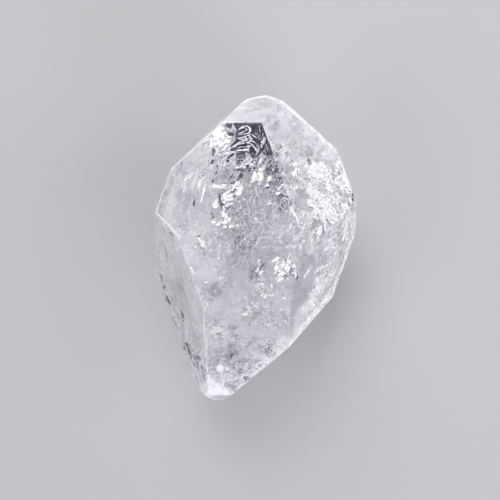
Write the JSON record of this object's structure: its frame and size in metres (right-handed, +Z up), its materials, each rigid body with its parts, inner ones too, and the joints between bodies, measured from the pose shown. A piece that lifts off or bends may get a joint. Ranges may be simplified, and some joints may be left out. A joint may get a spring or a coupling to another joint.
{
  "type": "fenster quartz crystal",
  "caption": "Loose natural quartz crystal, pointed at both ends and clear to hazy, lying on one of its flat faces, for display or as a hand specimen.",
  "frame": {"origin": "on the resting surface, below the middle of the crystal's outline seen from above", "axes": "+Z up from the resting face, +Y along the crystal's length towards its upper point, +X to the right seen from above with +Y up the picture"},
  "size_m": [0.02, 0.0306, 0.014],
  "materials": {
    "quartz": "clear natural crystal faces with a pale lavender grey haze and bright cracks inside"
  },
  "bodies": {
    "root": {"quartz_crystal": "quartz"}
  },
  "joints": []
}
